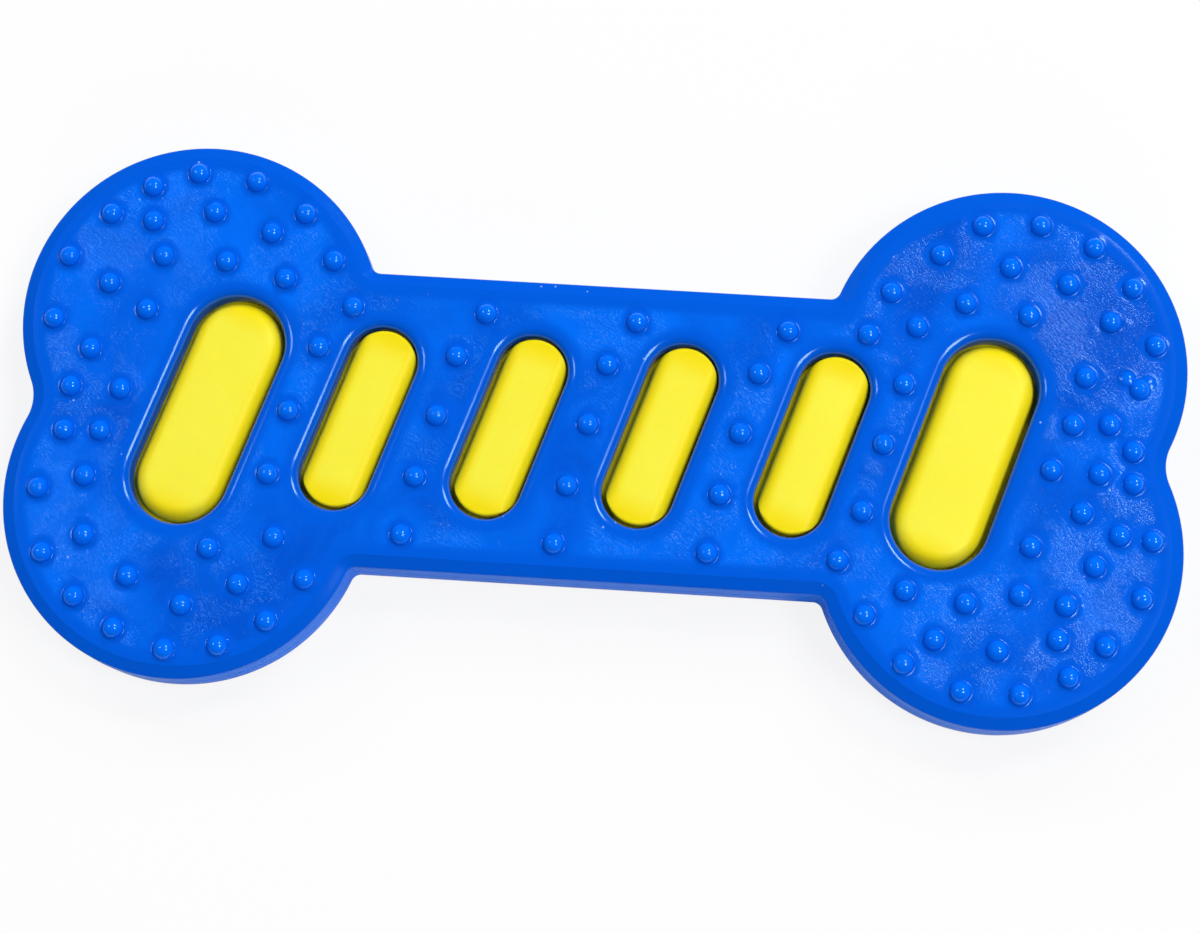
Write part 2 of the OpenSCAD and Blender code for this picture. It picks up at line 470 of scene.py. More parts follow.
@dataclass
class Patchwork:
    """Collects the patches of one closed piece and welds them where they meet.

    Attributes:
        label: Name of the share that tells the material one finish from another.
        points: Places of the corners, one array a patch, in millimetres.
        triangles: Corner numbers, one array a patch.
        shares: The share at each corner.
        size: Number of corners so far.
        weld: Grid in millimetres on which corners count as one.
    """

    label: str
    points: list[Array] = field(default_factory=list)
    triangles: list[Indices] = field(default_factory=list)
    shares: list[Array] = field(default_factory=list)
    size: int = 0
    weld: float = 0.002

    def add(self, points: Array, triangles: Indices, share: Array | float = 0.0) -> None:
        """Adds triangles with their finish.

        Args:
            points: Corner places, one row each.
            triangles: Three corner numbers a row.
            share: The labelled share, one value or one a corner.
        """
        self.points.append(points)
        self.triangles.append(triangles + self.size)
        self.shares.append(np.broadcast_to(share, len(points)).astype(float))
        self.size += len(points)

    def add_grid(self, grid: Array, share: Array | float = 0.0) -> None:
        """Adds a grid of rows whose last column joins its first.

        Args:
            grid: Corner places by row and column.
            share: The labelled share, one value or one a corner by row and column.
        """
        rows, columns = grid.shape[:2]
        row, column = np.meshgrid(np.arange(rows - 1), np.arange(columns), indexing="ij")
        after = (column + 1) % columns
        a, b = row * columns + column, row * columns + after
        c, d = a + columns, b + columns
        triangles = np.concatenate([np.stack([a, b, d], -1), np.stack([a, d, c], -1)]).reshape(-1, 3)
        self.add(grid.reshape(-1, 3), triangles, np.broadcast_to(share, (rows, columns)).ravel())

    def build(self, name: str, crease: float) -> bpy.types.Object:
        """Welds the patches into one mesh object whose faces point outwards.

        Args:
            name: Name of the object.
            crease: Angle in degrees above which an edge is shaded as a crease.

        Returns:
            The new object, linked to the scene.
        """
        points = np.concatenate(self.points)
        keys = np.round(points / self.weld).astype(np.int64)
        _, first, welded = np.unique(keys, axis=0, return_index=True, return_inverse=True)
        triangles = welded.reshape(-1)[np.concatenate(self.triangles)]
        a, b, c = triangles.T
        triangles = triangles[(a != b) & (b != c) & (c != a)]
        mesh = bpy.data.meshes.new(name)
        mesh.vertices.add(len(first))
        mesh.vertices.foreach_set("co", (points[first] * MM).astype(np.float32).ravel())
        mesh.loops.add(triangles.size)
        mesh.loops.foreach_set("vertex_index", triangles.astype(np.int32).ravel())
        mesh.polygons.add(len(triangles))
        mesh.polygons.foreach_set("loop_start", np.arange(0, triangles.size, 3, dtype=np.int32))
        mesh.update(calc_edges=True)
        mesh.validate()
        shell = bmesh.new()
        shell.from_mesh(mesh)
        bmesh.ops.recalc_face_normals(shell, faces=shell.faces)
        open_edges = sum(1 for edge in shell.edges if len(edge.link_faces) != 2)
        shell.to_mesh(mesh)
        shell.free()
        values = np.concatenate(self.shares)[first].astype(np.float32)
        mesh.attributes.new(self.label, "FLOAT", "POINT").data.foreach_set("value", values)
        mesh.polygons.foreach_set("use_smooth", np.ones(len(mesh.polygons), bool))
        mesh.set_sharp_from_angle(angle=math.radians(crease))
        made = bpy.data.objects.new(name, mesh)
        bpy.context.scene.collection.objects.link(made)
        log.info("%s: %d triangles, %d open edges", name, len(mesh.polygons), open_edges)
        return made


def triangulate(loops: list[Array], extra: Array, keep: Callable[[Array], Array]) -> tuple[Array, Indices]:
    """Fills a flat region with Delaunay triangles that respect closed loops.

    The whole hull of the points is filled, and then only the wanted triangles are kept.

    Args:
        loops: Closed loops of points, which become edges.
        extra: Further points in the region.
        keep: Says for the middles of triangles which of them stay.

    Returns:
        The points, and three point numbers a row.
    """
    starts = np.cumsum([0] + [len(loop) for loop in loops])
    edges = np.concatenate([
        np.stack([start + np.arange(len(loop)), start + (np.arange(len(loop)) + 1) % len(loop)], -1)
        for start, loop in zip(starts, loops)
    ])
    points = np.concatenate([*loops, extra])
    hull, tolerance = 0, 1e-7
    found, _, faces, *_ = delaunay_2d_cdt(points.tolist(), edges.tolist(), [], hull, tolerance, False)
    faces = np.array(faces, np.int64)
    if len(found) != len(points):
        log.warning("%d points became %d", len(points), len(found))
        points = np.array(found, float)
    return points, faces[keep(points[faces].mean(axis=1))]


@dataclass(frozen=True)
class HalfShell:
    """One blue half shell: side wall, sloping rim, uneven face with nubs, and six slots.

    Attributes:
        side: Front or back.
        outline: Outline of the bone.
        slots: The six slots.
        nub: Shape of a nub.
        nub_places: Middles of the nubs, one row each.
        marks: Marks that replace the nub at their place.
        half_t: Height of the flat face above the parting plane.
        mid_z: Height of the parting plane.
        ripple: Unevenness of the face.
        rim_w: Width of the sloping rim.
        rim_drop: How far the rim falls to its outer edge.
        ridge: How far the low ridge inside the rim stands proud.
        ridge_in: Depth of the ridge's crest.
        ridge_w: Half width of the ridge.
        bend: How far the level row inside the bend between rim and face is from it.
        edge_r: Radius between rim and side wall.
        draft: How far the side wall draws in for a unit of height.
        seam: Depth of the rounded groove at the parting line.
        lip_r: Height of a slot's rounded lip.
        lip_w: Width of that lip.
        pocket_z: Height of the flange pocket's ceiling.
        pocket_gap: Gap round the flange in its pocket.
        rim_calm: Depths between which the unevenness grows.
        lip_calm: Width beside a lip over which it grows.
        rim_bare: Depths between which the etched grain grows.
        lip_bare: Distances from a slot between which it grows.
        nub_bare: Width beside a nub over which it grows.
        bump_bare: Heights of a mark's bumps between which it grows.
        band_rows: Numbers of points over seam, side wall, edge round and rim.
        slot_rows: Numbers of points over a slot's lip and down its wall.
        nub_sides: Number of points round a nub.
        mark_sides: Number of points round a mark.
        mark_rows: Number of points from a mark's middle to its edge.
        step: Spacing of points along the outline.
        slot_step: Spacing of points round a slot.
        face_step: Spacing of points on the face.
        face_clear: Shares of that spacing kept free beside rows, slots and nubs.
        chord: Share of a nub's radius that the straight sides of its loop may cut off.
        ring_depths: Depths at which further rows of points follow the outline.
        crease: Angle in degrees above which an edge is shaded as a crease.
    """

    side: Side
    outline: BoneOutline
    slots: tuple[Slot, ...]
    nub: NubShape
    nub_places: Array
    marks: tuple[Mark, ...]
    half_t: float
    mid_z: float
    ripple: Ripple
    rim_w: float = 2.5
    rim_drop: float = 1.02
    ridge: float = 0.08
    ridge_in: float = 3.7
    ridge_w: float = 1.1
    bend: float = 0.06
    edge_r: float = 0.5
    draft: float = 0.015
    seam: float = 0.3
    lip_r: float = 1.5
    lip_w: float = 2.1
    pocket_z: float = 1.0
    pocket_gap: float = 0.3
    rim_calm: Pair = (0.3, 3.5)
    lip_calm: float = 3.0
    rim_bare: Pair = (4.0, 5.8)
    lip_bare: Pair = (2.2, 3.7)
    nub_bare: float = 0.9
    bump_bare: Pair = (0.4, 0.1)
    band_rows: tuple[int, ...] = (6, 6, 8, 5)
    slot_rows: tuple[int, ...] = (11, 4)
    nub_sides: int = 28
    mark_sides: int = 90
    mark_rows: int = 38
    step: float = 0.9
    slot_step: float = 0.55
    face_step: float = 1.15
    face_clear: tuple[float, ...] = (0.6, 0.5, 0.4)
    chord: float = 0.001
    ring_depths: tuple[float, ...] = (2.9, 3.3, 3.7, 4.15, 4.65, 5.3, 6.1)
    crease: float = 23.0

    @property
    def band_w(self) -> float:
        """Width of the band that is carried along the outline."""
        return self.rim_w + self.bend

    def rim_height(self, depth: Array) -> Array:
        """Height of the top at a depth inside the outline, without the unevenness.

        The rim falls in a straight line outside its width. Inside it a low bell-shaped ridge
        stands on the level face.

        Args:
            depth: Depths of points.

        Returns:
            Heights above the parting plane.
        """
        share = (self.rim_w - depth) / (self.rim_w - self.edge_r)
        ridge = self.ridge * np.exp(-(((depth - self.ridge_in) / self.ridge_w) ** 2))
        return self.half_t - self.rim_drop * np.maximum(share, 0.0) + ridge

    def from_slots(self, at: Array) -> Array:
        """Distance of points in plan from the nearest slot; below 0 inside one."""
        return np.minimum.reduce([slot.distance(at) for slot in self.slots])

    def height(self, at: Array) -> Array:
        """Height of the face, which grows even towards the rim and the slots.

        Args:
            at: Points in plan.

        Returns:
            Heights above the parting plane.
        """
        depth = self.outline.depth(at)
        share = smooth_step(depth, *self.rim_calm)
        share = share * smooth_step(self.from_slots(at), self.lip_w, self.lip_w + self.lip_calm)
        return self.rim_height(depth) + share * self.ripple.lift(at)

    def grain(self, at: Array) -> Array:
        """Share of etched grain: none on the rim and the lips, full between them."""
        share = smooth_step(self.outline.depth(at), *self.rim_bare)
        return share * smooth_step(self.from_slots(at), *self.lip_bare)

    def solid(self, plan: Array, z: Array | float) -> Array:
        """Places in the row frame of points in plan at heights above the parting plane."""
        return raised(plan, self.mid_z + self.side.value * z)

    def band_profile(self) -> tuple[Array, Array, int]:
        """Section of the band: seam groove, drawn-in side wall, edge round and sloping rim.

        Returns:
            Depths, heights, and the number of rows that belong to the side wall.
        """
        seam_rows, wall_rows, edge_rows, rim_rows = self.band_rows
        seam = np.linspace(0.0, math.pi / 2, seam_rows)
        top = self.half_t - self.rim_drop - self.edge_r
        wall = np.linspace(self.seam, top, wall_rows)[1:-1]
        slope = math.atan2(self.rim_drop, self.rim_w - self.edge_r)
        turn = np.linspace(math.pi, math.pi / 2 + slope, edge_rows)
        edge = self.draft * top + self.edge_r + self.edge_r * np.cos(turn)
        lift = self.rim_height(edge[-1:])[0] - self.edge_r * math.sin(turn[-1])
        rim = np.linspace(edge[-1], self.rim_w - self.bend, rim_rows)[1:]
        rim = np.append(rim, [self.rim_w, self.band_w])
        depths = [self.seam * (1.0 - np.sin(seam)), self.draft * wall, edge, rim]
        heights = [
            self.seam * (1.0 - np.cos(seam)), wall, lift + self.edge_r * np.sin(turn), self.rim_height(rim),
        ]
        return np.concatenate(depths), np.concatenate(heights), len(seam) + len(wall)

    def add_band(self, work: Patchwork, points: Array, normals: Array) -> None:
        """Carries the band's section along the outline.

        Args:
            work: Patches of the shell.
            points: Points of the outline.
            normals: Outward normals at the points.
        """
        depths, heights, wall_rows = self.band_profile()
        plan = points - depths[:, None, None] * normals
        z = heights[:, None] + smooth_step(depths, *self.rim_calm)[:, None] * self.ripple.lift(plan)
        z[-1] = self.height(plan[-1])
        grid = self.solid(plan, z)
        work.add_grid(grid[:wall_rows + 1], -1.0)
        work.add_grid(grid[wall_rows:], self.grain(plan[wall_rows:]))

    def add_slot(self, work: Patchwork, slot: Slot) -> tuple[Array, Array]:
        """Carries lip, wall and flange pocket round a slot.

        The lip is a quarter of an ellipse. Below it the wall is straight down to the pocket, which
        reaches out past the flange and down to the parting plane.

        Args:
            work: Patches of the shell.
            slot: The slot.

        Returns:
            The loop at the lip's outer edge and the loop at the pocket's foot, in plan.
        """
        lip_rows, wall_rows = self.slot_rows
        spine, out = slot.loop(self.slot_step)
        turn = np.linspace(0.0, math.pi / 2, lip_rows)
        reach = slot.flange_reach + self.pocket_gap
        lip_z = self.half_t - self.lip_r * (1.0 - np.cos(turn))
        wall_z = np.linspace(self.half_t - self.lip_r, self.pocket_z, wall_rows)[1:]
        offsets = np.concatenate([self.lip_w * (1.0 - np.sin(turn)), 0.0 * wall_z, [reach, reach]])
        heights = np.concatenate([lip_z, wall_z, [self.pocket_z, 0.0]])
        plan = spine + (slot.radius + offsets)[:, None, None] * out
        z = np.repeat(heights[:, None], len(spine), axis=1)
        z[0] = self.height(plan[0])
        work.add_grid(self.solid(plan, z))
        return plan[0], plan[-1]

    def add_nub(self, work: Patchwork, place: Array) -> Array:
        """Turns a nub's section round its place, no higher than the level face and nub reach.

        Args:
            work: Patches of the shell.
            place: Middle of the nub.

        Returns:
            The loop at the nub's foot, in plan.
        """
        radii, lifts = self.nub.profile(cap_rows=8, cove_rows=4, skirt_rows=3)
        plan = place + radii[:, None, None] * circle(self.nub_sides)
        base = self.height(plan)
        tip = np.minimum(1.0, (self.half_t + self.nub.height - base) / self.nub.height)
        work.add_grid(self.solid(plan, base + lifts[:, None] * tip))
        return plan[-1]

    def add_mark(self, work: Patchwork, mark: Mark) -> Array:
        """Adds a round patch of the face that carries a mark's bumps.

        Args:
            work: Patches of the shell.
            mark: The mark.

        Returns:
            The loop at the patch's edge, in plan.
        """
        radii = np.linspace(0.0, mark.reach, self.mark_rows)
        plan = mark.place + radii[:, None, None] * circle(self.mark_sides)
        lift = mark.lift(plan)
        z = np.minimum(self.height(plan) + lift, self.half_t + self.nub.height)
        work.add_grid(self.solid(plan, z), self.grain(plan) * smooth_step(lift, *self.bump_bare))
        return plan[-1]

    def face_points(self, holes: Array, reaches: Array) -> Array:
        """Points of a triangular lattice on the open face, clear of rim, slots and marks.

        Args:
            holes: Middles of nubs and marks.
            reaches: Radius of each of them.

        Returns:
            The points, in plan.
        """
        by_row, by_slot, by_hole = (share * self.face_step for share in self.face_clear)
        rise = self.face_step * math.sqrt(3) / 2
        rows = np.arange(-self.outline.half_width, self.outline.half_width, rise)
        columns = np.arange(-self.outline.half_length, self.outline.half_length, self.face_step)
        y, x = np.meshgrid(rows, columns, indexing="ij")
        x = x + (np.arange(len(rows)) % 2)[:, None] * self.face_step / 2
        at = np.stack([x.ravel(), y.ravel()], axis=-1)
        at = at[self.outline.depth(at) > self.ring_depths[-1] + by_row]
        points, normals = self.outline.loop(self.step)
        at = np.concatenate([at, *(points - depth * normals for depth in self.ring_depths)])
        at = at[self.from_slots(at) > self.lip_w + by_slot]
        return at[clear(at, holes, reaches) > by_hole]

    def build(self, name: str) -> bpy.types.Object:
        """Builds the whole half shell as one closed mesh.

        Args:
            name: Name of the object.

        Returns:
            The new object.
        """
        work = Patchwork("grain")
        points, normals = self.outline.loop(self.step)
        self.add_band(work, points, normals)
        rims, pockets = zip(*(self.add_slot(work, slot) for slot in self.slots))
        marks = np.array([mark.place for mark in self.marks]).reshape(-1, 2)
        apart = length(self.nub_places[:, None] - marks)
        plain = self.nub_places[(apart > self.nub.width / 2).all(axis=1)]
        feet = [self.add_nub(work, place) for place in plain]
        feet += [self.add_mark(work, mark) for mark in self.marks]
        holes = np.concatenate([plain, marks])
        reaches = np.array([self.nub.reach] * len(plain) + [mark.reach for mark in self.marks])

        def on_face(at: Array) -> NDArray[np.bool_]:
            """Whether points lie on the open face."""
            free = clear(at, holes, reaches * (1.0 - self.chord)) > 0
            return free & (self.outline.depth(at) > self.band_w) & (self.from_slots(at) > self.lip_w)

        def on_joint(at: Array) -> NDArray[np.bool_]:
            """Whether points lie on the flat that is bonded to the other shell."""
            flange = np.minimum.reduce([slot.distance(at) - slot.flange_reach for slot in self.slots])
            return (self.outline.depth(at) > self.seam) & (flange > self.pocket_gap)

        inner = points - self.band_w * normals
        at, faces = triangulate([inner, *rims, *feet], self.face_points(holes, reaches), on_face)
        grain = self.grain(at) * smooth_step(clear(at, holes, reaches), 0.0, self.nub_bare)
        work.add(self.solid(at, self.height(at)), faces, grain)
        loops = [points - self.seam * normals, *pockets]
        at, faces = triangulate(loops, np.empty((0, 2)), on_joint)
        work.add(self.solid(at, 0.0), faces)
        return work.build(name, self.crease)


@dataclass(frozen=True)
class PadInsert:
    """Yellow insert: a pad on both faces, and the flange between them in the pocket.

    Attributes:
        slot: Slot that the insert sits in.
        style: Form of the pad's top.
        mid_z: Height of the parting plane.
        half_t: Height of the flat face above the parting plane.
        shift: Shift of the pad along X from the middle of its slot.
        sink: How far the pad's edge line lies below the flat face.
        bulge: How far the middle of the pad stands above its shoulders.
        flank_r: Radius of the round long flanks, or of the whole edge of a pillow.
        gap: Gap between pad and slot wall.
        end_r: Radius of the crisp edge at the ends of a bar.
        flange_z: Half the thickness of the flange.
        foot_r: Radius of the hollow between pad and flange.
        crown_in: Distances inside the long edges between which the painted sheen on the top grows.
        crown_ends: Distances inside the ends between which it grows.
        top_rows: Number of rings from the spine to the pad's edge.
        foot_rows: Number of rings down the hollow.
        step: Spacing of points round the pad.
        crease: Angle in degrees above which an edge is shaded as a crease.
    """

    slot: Slot
    style: PadStyle
    mid_z: float
    half_t: float
    shift: float
    sink: float
    bulge: float
    flank_r: float
    gap: float = 0.65
    end_r: float = 0.5
    flange_z: float = 1.0
    foot_r: float = 0.2
    crown_in: Pair = (1.2, 3.8)
    crown_ends: Pair = (1.0, 7.0)
    top_rows: int = 30
    foot_rows: int = 4
    step: float = 0.5
    crease: float = 40.0

    @property
    def half_w(self) -> float:
        """Half the width of the pad."""
        return self.slot.radius - self.gap

    @property
    def half_l(self) -> float:
        """Half the length of the pad."""
        return self.slot.half_run + self.half_w

    def round_over(self, inset: Array, radius: float) -> Array:
        """Fall of a quarter round at a distance inside the edge, by the circle's equation."""
        into = np.clip(radius - inset, 0.0, radius)
        return radius - np.sqrt(radius**2 - into**2)

    def top(self, across: Array, along: Array, inset: Array) -> Array:
        """Height of the pad's top above the parting plane.

        A pillow falls by one quarter round all round. A bar falls by a wide quarter round
        across and a tight one at its rim, and the lower of the two is taken. Both bulge by a
        parabola across and by half of one along.

        Args:
            across: Distances from the pad's long axis.
            along: Distances along it from the middle.
            inset: Distances inside the pad's edge.

        Returns:
            Heights.
        """
        bulge = self.bulge * (1.0 - (across / self.half_w) ** 2) * (1.0 - 0.5 * (along / self.half_l) ** 2)
        level = self.half_t - self.sink + bulge
        if self.style is PadStyle.PILLOW:
            return level - self.round_over(inset, self.flank_r)
        flank = self.round_over(self.half_w - np.abs(across), self.flank_r)
        return level - np.maximum(flank, self.round_over(inset, self.end_r))

    def build(self, name: str) -> bpy.types.Object:
        """Builds the insert as one closed mesh of rings round the slot's spine.

        Args:
            name: Name of the object.

        Returns:
            The new object.
        """
        work = Patchwork("sheen_crown")
        spine, out = self.slot.loop(self.step, self.shift)
        home, _ = self.slot.loop(self.step)
        ways = np.sin(np.linspace(0.0, math.pi / 2, self.top_rows)) * self.half_w
        foot = np.linspace(0.0, math.pi / 2, self.foot_rows)
        foot_ways = self.half_w + self.foot_r * (1.0 - np.cos(foot))
        foot_z = self.flange_z + self.foot_r * (1.0 - np.sin(foot))
        edge = home + (self.slot.radius + self.slot.flange_reach) * out
        plan = np.concatenate([
            spine + np.concatenate([ways, foot_ways])[:, None, None] * out, [edge, edge],
        ])
        arm = plan[:self.top_rows] - self.slot.centre - [self.shift, 0.0]
        along, across = arm @ self.slot.axis, arm @ self.slot.side
        top = self.top(across, along, self.half_w - ways[:, None])
        below = np.concatenate([foot_z, [self.flange_z, 0.0]])
        heights = np.concatenate([top, np.repeat(below[:, None], len(spine), axis=1)])
        # Share of painted sheen: a paler band along the middle of the pad's top, standing in for its soft
        # reflection.
        sheen_crown = np.zeros(heights.shape)
        sheen_crown[:self.top_rows] = smooth_step(self.half_w - np.abs(across), *self.crown_in)
        sheen_crown[:self.top_rows] *= smooth_step(self.half_l - np.abs(along), *self.crown_ends)
        for side in Side:
            work.add_grid(raised(plan, self.mid_z + side.value * heights), sheen_crown)
        return work.build(name, self.crease)


def linear(hex_colour: str) -> Colour:
    """Turns an sRGB hex colour into linear RGBA, by the sRGB curve.

    Args:
        hex_colour: Colour as # and six digits.

    Returns:
        Its linear shares of red, green and blue, with full alpha.
    """
    parts = np.array([int(hex_colour[i:i + 2], 16) for i in (1, 3, 5)]) / 255
    values = np.where(parts <= 0.04045, parts / 12.92, ((parts + 0.055) / 1.055) ** 2.4)
    return (*values.tolist(), 1.0)


def per_size(size: float) -> float:
    """Scale of a pattern whose features are a size in millimetres wide."""
    return 1.0 / (size * MM)


def add_node(tree: bpy.types.NodeTree, kind: str, inputs: dict | tuple = (),
             out: str | int | None = 0, **settings: object) -> Socket | None:
    """Adds a shader node with its settings, and sets or links its inputs.

    Args:
        tree: Node tree that takes the node.
        kind: Type name of the node, after ShaderNode.
        inputs: A value or a feeding socket for each input, by name or from the first on.
        out: The output that is wanted, or None for a node that has none.
        **settings: Properties of the node.

    Returns:
        The wanted output.
    """
    node = tree.nodes.new(f"ShaderNode{kind}")
    for key, setting in settings.items():
        setattr(node, key, setting)
    for key, given in inputs.items() if isinstance(inputs, dict) else enumerate(inputs):
        if isinstance(given, Socket):
            tree.links.new(given, node.inputs[key])
        else:
            node.inputs[key].default_value = given
    return None if out is None else node.outputs[out]


def empty_tree(owner: bpy.types.Material | bpy.types.World) -> Callable[..., Socket | None]:
    """Empties the node tree of a material or world.

    Args:
        owner: The material or world.

    Returns:
        What adds nodes to that tree.
    """
    owner.use_nodes = True
    owner.node_tree.nodes.clear()
    return partial(add_node, owner.node_tree)


@dataclass(frozen=True)
class Noise:
    """Cloudy random pattern.

    Attributes:
        size_mm: Width of its features.
        detail: How many finer patterns are laid over it.
        twist: How far it is bent by itself.
        rough: Strength of each finer pattern beside the one before.
    """

    size_mm: float
    detail: float
    twist: float = 0.0
    rough: float = 0.5

    def inputs(self, place: Socket) -> dict:
        """Inputs of its node, by name, with the coordinates that it follows."""
        return {"Vector": place, "Scale": per_size(self.size_mm), "Detail": self.detail,
                "Roughness": self.rough, "Distortion": self.twist}


@dataclass(frozen=True)
class BlueMouldedRubber:
    """Natural rubber, blue, compression moulded in an etched steel mould.

    The eye sees a saturated satin blue. Between rim, lips and nubs the mould's etching leaves a
    fine crinkle that breaks up the reflections, and in patches the tops of the crinkle carry a
    painted sheen: a paler blue that stands in for glints of the lamps. The nubs are glossier, and
    above their foot they are painted a shade brighter, a painted highlight of the light on their
    tops. Rim, lips and the ring round each nub's foot are painted a shade deeper, a painted shade
    of the sloping rim and of the creases. The side wall is brushed along by the trimming of its
    flash, so it mirrors little, and it is painted paler, a painted reflection of the white floor.
    A few small whitish dots lie in the strongest patches.

    The pores are drawn wider than real ones, which are too fine to show. Mirror holds the face's
    level and the wall's, rough the face's and a nub's. Two numbers for a pattern are the values
    between which its share grows from none to full, and two more are shares in their place.
    """

    mid_z: float
    half_t: float
    deep: str = "#0054d4"
    bright: str = "#006ef8"
    # Painted sheen: the paler blue on the tops of the crinkle in strong patches stands in for glints of the
    # lamps.
    crest: str = "#2f8bff"
    # Painted shade: the deeper blue of rim, lips and the ring round each nub's foot, where no grain is.
    rim: str = "#005de0"
    # Painted highlight: the nubs above their foot take this brighter blue, standing in for the light on
    # their tops.
    nub: str = "#0070ff"
    # Painted reflection: the side wall's paler blue stands in for the white floor that it mirrors at a
    # grazing angle.
    wall: str = "#1f80ff"
    # Whitish dots, laid only in the strongest patches.
    fleck: str = "#8fb4ff"
    sheen: str = "#bfe9ff"
    ior: float = 1.5
    mirror: Pair = (0.5, 0.01)
    rough: Pair = (0.12, 0.06)
    nub_from: Pair = (0.2, 0.7)
    cloud: Noise = Noise(22.0, 3.0, 0.6)
    patch: Noise = Noise(15.0, 2.0, 1.0)
    crinkle: Noise = Noise(0.6, 3.0, 1.6, 0.55)
    swirl: Noise = Noise(5.0, 2.0)
    pores: Noise = Noise(0.25, 1.0)
    streaks: Noise = Noise(0.55, 1.0)
    streak_stretch: float = 0.03
    wave_mm: float = 0.52
    wave_twist: float = 5.0
    wave_detail: Pair = (3.0, 1.2)
    wave_share: float = 0.17
    pore_share: float = 0.22
    streak_share: float = 0.3
    relief_mm: float = 0.08
    etched: tuple[float, ...] = (0.43, 0.57, 0.38, 0.85)
    tones: Pair = (0.34, 0.66)
    # Painted sheen on the tops of the crinkle: the folds and the patches over which it grows.
    crest_sheen: Pair = (0.58, 0.74)
    sheen_patches: tuple[float, ...] = (0.44, 0.56, 0.05, 0.36)
    fleck_mm: float = 5.0
    fleck_edge: Pair = (0.055, 0.02)
    fleck_patches: Pair = (0.5, 0.56)

    def relief(self, node: Callable[..., Socket], place: Socket, patch: Socket, grain: Socket,
               wall: Socket) -> tuple[Socket, Socket]:
        """Adds the crinkled grain of the face and the brushed streaks of the wall.

        The crinkle is a bent band pattern on a fine noise, weaker in patches, with pores.

        Args:
            node: Adds a node to the material's tree.
            place: Object coordinates.
            patch: Slow noise that tells strong grain from faint.
            grain: Share of grain.
            wall: Share of side wall.

        Returns:
            The folds of the crinkle, and the bent normal.
        """
        bend = self.swirl.size_mm * MM
        swirl = node("TexNoise", self.swirl.inputs(place), "Color")
        bent = node("VectorMath", (swirl, (bend, bend, 0.0), place), operation="MULTIPLY_ADD")
        detail, detail_scale = self.wave_detail
        waves = node("TexWave", {"Vector": bent, "Scale": per_size(self.wave_mm) * WAVE_PERIOD,
                                 "Distortion": self.wave_twist, "Detail": detail,
                                 "Detail Scale": detail_scale}, "Fac", bands_direction="DIAGONAL")
        crinkle = node("TexNoise", self.crinkle.inputs(place))
        folds = node("Math", (waves, self.wave_share, crinkle), operation="MULTIPLY_ADD")
        patched = node("Math", (folds, node("MapRange", (patch, *self.etched))), operation="MULTIPLY")
        pores = node("TexNoise", self.pores.inputs(place))
        relief = node("Math", (pores, self.pore_share, patched), operation="MULTIPLY_ADD")
        face = node("Math", (relief, grain), operation="MULTIPLY")
        along = (self.streak_stretch, self.streak_stretch, 1.0)
        stretched = node("Mapping", {"Vector": place, "Scale": along})
        streaks = node("TexNoise", self.streaks.inputs(stretched))
        brushed = node("Math", (streaks, wall), operation="MULTIPLY")
        height = node("Math", (brushed, self.streak_share, face), operation="MULTIPLY_ADD")
        return folds, node("Bump", {"Height": height, "Strength": 1.0, "Distance": self.relief_mm * MM})

    def build(self) -> bpy.types.Material:
        """Builds the material.

        Returns:
            The material.
        """
        material = bpy.data.materials.new("moulded_blue_rubber")
        node = empty_tree(material)
        blend = {"out": "Result", "data_type": "RGBA"}
        place = node("TexCoord", out="Object")
        share = node("Attribute", out="Fac", attribute_name="grain")
        grain = node("Math", (share, 0.0), operation="MAXIMUM")
        wall = node("Math", (share, -1.0), operation="MULTIPLY", use_clamp=True)
        patch = node("TexNoise", self.patch.inputs(place))
        folds, normal = self.relief(node, place, patch, grain, wall)
        level = node("SeparateXYZ", (place,), "Z")
        level = node("Math", (level, self.mid_z * MM), operation="SUBTRACT")
        level = node("Math", (level,), operation="ABSOLUTE")
        # Nubs above their foot: glossier, and painted brighter as a painted highlight.
        nub_light_and_gloss = node("MapRange", (level, *((self.half_t + rise) * MM for rise in self.nub_from)))
        tone = node("MapRange", (node("TexNoise", self.cloud.inputs(place)), *self.tones))
        # Painted sheen: a paler blue on the tops of the crinkle, strongest in the strong patches.
        crest_sheen = node("MapRange", (folds, *self.crest_sheen))
        sheen_patches = node("MapRange", (patch, *self.sheen_patches))
        painted_sheen = node("Math", (crest_sheen, sheen_patches), operation="MULTIPLY")
        cells = node("TexVoronoi", {"Vector": place, "Scale": per_size(self.fleck_mm)}, "Distance")
        dots = node("MapRange", (cells, *self.fleck_edge))
        flecks = node("Math", (dots, node("MapRange", (patch, *self.fleck_patches))), operation="MULTIPLY")
        blue = node("Mix", {"Factor": tone, "A": linear(self.deep), "B": linear(self.bright)}, **blend)
        skin = node("Mix", {"Factor": painted_sheen, "A": blue, "B": linear(self.crest)}, **blend)
        # Painted shade: the deeper rim blue wherever the grain share is nought, on rim, lips and round the
        # nubs' feet.
        face = node("Mix", {"Factor": grain, "A": linear(self.rim), "B": skin}, **blend)
        # Painted highlight: the brighter blue on the nubs above their foot.
        body = node("Mix", {"Factor": nub_light_and_gloss, "A": face, "B": linear(self.nub)}, **blend)
        dotted = node("Mix", {"Factor": flecks, "A": body, "B": linear(self.fleck)}, **blend)
        # Painted reflection of the floor: the paler wall blue on the side wall.
        colour = node("Mix", {"Factor": wall, "A": dotted, "B": linear(self.wall)}, **blend)
        shader = node("BsdfPrincipled", {
            "Base Color": colour, "Normal": normal, "IOR": self.ior, "Specular Tint": linear(self.sheen),
            "Roughness": node("MapRange", (nub_light_and_gloss, 0.0, 1.0, *self.rough)),
            "Specular IOR Level": node("MapRange", (wall, 0.0, 1.0, *self.mirror)),
        })
        node("OutputMaterial", (shader,), None)
        return material


